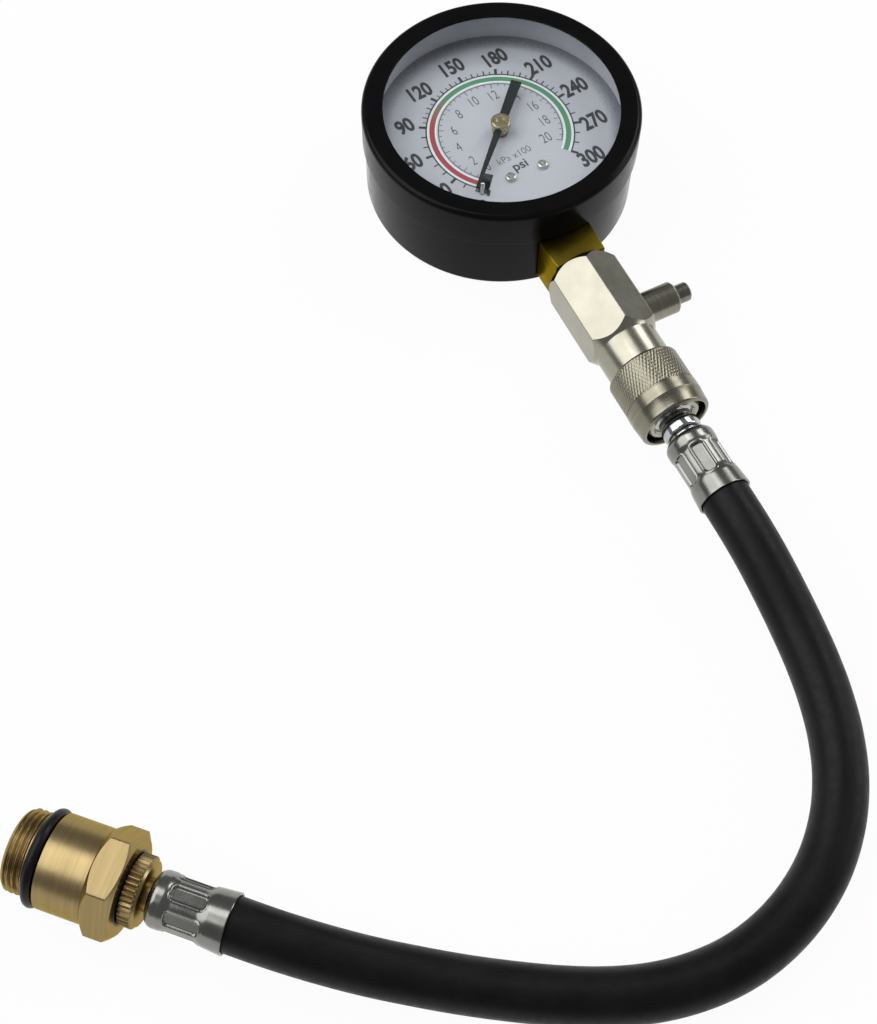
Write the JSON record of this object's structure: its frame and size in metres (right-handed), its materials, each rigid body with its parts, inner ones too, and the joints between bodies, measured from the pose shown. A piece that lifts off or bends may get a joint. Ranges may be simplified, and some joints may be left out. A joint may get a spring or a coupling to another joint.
{
  "type": "compression tester gauge",
  "caption": "Round dial pressure gauge on its back with a release valve, quick coupler, crimped rubber hose and brass spark plug thread adapter, for reading engine cylinder compression.",
  "frame": {"origin": "centre of the case back, on the surface that the gauge lies on", "axes": "+Z out of the dial, -Y along the stem towards the hose, +X towards the release button"},
  "size_m": [0.2149, 0.2458, 0.0277],
  "materials": {
    "case_black": "semi-gloss black paint",
    "bezel_black": "satin black paint",
    "lens_glass": "clear glass",
    "ring_white": "pale matt",
    "dial_white": "matt pale enamel",
    "screw_steel": "bright zinc",
    "pointer_black": "matt black paint",
    "hub_brass": "pale turned brass",
    "movement_brass": "plain brass",
    "spring_steel": "bright spring steel",
    "stem_brass": "bright drawn brass",
    "nickel_plate": "satin nickel plate",
    "button_steel": "turned steel",
    "seal_rubber": "smooth black rubber",
    "plug_chrome": "polished chrome",
    "ferrule_steel": "bright pressed steel",
    "hose_rubber": "matt black rubber",
    "adapter_brass": "turned brass"
  },
  "bodies": {
    "gauge": {"case": "case_black", "bezel": "bezel_black", "lens": "lens_glass", "dial_spacer_ring": "ring_white", "dial_plate": "dial_white", "dial_screws": "screw_steel", "stop_pin": "screw_steel", "hairspring": "spring_steel", "bourdon_tube": "movement_brass", "stem_socket": "stem_brass", "movement_bottom_plate": "movement_brass", "movement_top_plate": "movement_brass", "movement_pillars": "movement_brass", "movement_screws": "screw_steel", "case_screws": "screw_steel", "valve_block": "nickel_plate", "release_valve_housing": "nickel_plate", "release_spring": "spring_steel", "sleeve_spring": "spring_steel", "locking_balls": "spring_steel", "sleeve_retaining_ring": "spring_steel", "socket_seal": "seal_rubber"},
    "pointer": {"pointer": "pointer_black", "pointer_hub": "hub_brass", "pinion": "movement_brass"},
    "sector": {"sector_gear": "movement_brass"},
    "tip": {"tube_tip": "movement_brass"},
    "link": {"movement_link": "spring_steel"},
    "release_button": {"release_button": "button_steel", "release_seal": "seal_rubber"},
    "coupler_sleeve": {"coupler_sleeve": "nickel_plate"},
    "hose_end": {"quick_plug": "plug_chrome", "gauge_ferrule": "ferrule_steel", "hose": "hose_rubber", "adapter_ferrule": "ferrule_steel", "end_fitting": "adapter_brass", "end_fitting_o_ring": "seal_rubber", "thread_adapter": "adapter_brass", "adapter_o_ring": "seal_rubber", "check_valve_body": "movement_brass", "check_valve_spring": "spring_steel"},
    "check_pin": {"check_valve_pin": "screw_steel", "check_valve_seal": "seal_rubber"}
  },
  "joints": [
    {"name": "pointer_turn", "type": "hinge", "parent": "gauge", "child": "pointer", "pos_m": [0, 0, 0.018], "axis": [0, 0, -1], "range_deg": [0, 290], "stiffness_Nm_per_rad": 0.000005, "deforming": ["hairspring"]},
    {"name": "sector_turn", "type": "hinge", "parent": "gauge", "child": "sector", "pos_m": [0.01146, 0.01146, 0.0099], "axis": [0, 0, 1], "range_deg": [0, 36.3]},
    {"name": "tip_travel", "type": "slide", "parent": "gauge", "child": "tip", "axis": [-0.1736, 0.9848, 0], "range_m": [0, 0.00368], "stiffness_N_per_m": 200, "deforming": ["bourdon_tube"]},
    {"name": "link_swing", "type": "hinge", "parent": "tip", "child": "link", "pos_m": [0.01718, -0.00085, 0.0103], "axis": [0, 0, -1], "range_deg": [0, 4]},
    {"name": "release_press", "type": "slide", "parent": "gauge", "child": "release_button", "axis": [-1, 0, 0], "range_m": [0, 0.002], "stiffness_N_per_m": 800, "deforming": ["release_spring"]},
    {"name": "sleeve_slide", "type": "slide", "parent": "gauge", "child": "coupler_sleeve", "axis": [0, 1, 0], "range_m": [0, 0.0035], "stiffness_N_per_m": 1500, "deforming": ["sleeve_spring"]},
    {"name": "hose_swivel", "type": "hinge", "parent": "gauge", "child": "hose_end", "pos_m": [0, -0.08, 0.01], "axis": [0, 1, 0], "continuous": true},
    {"name": "check_valve_slide", "type": "slide", "parent": "hose_end", "child": "check_pin", "axis": [0.6947, -0.7193, 0], "range_m": [0, 0.0012], "stiffness_N_per_m": 200, "deforming": ["check_valve_spring"]}
  ],
  "couplings": [
    {"joint": "pointer_turn", "follows": "tip_travel", "rad_per_m": 1326.5},
    {"joint": "sector_turn", "follows": "tip_travel", "rad_per_m": 165.82},
    {"joint": "link_swing", "follows": "tip_travel", "rad_per_m": 16.548}
  ]
}
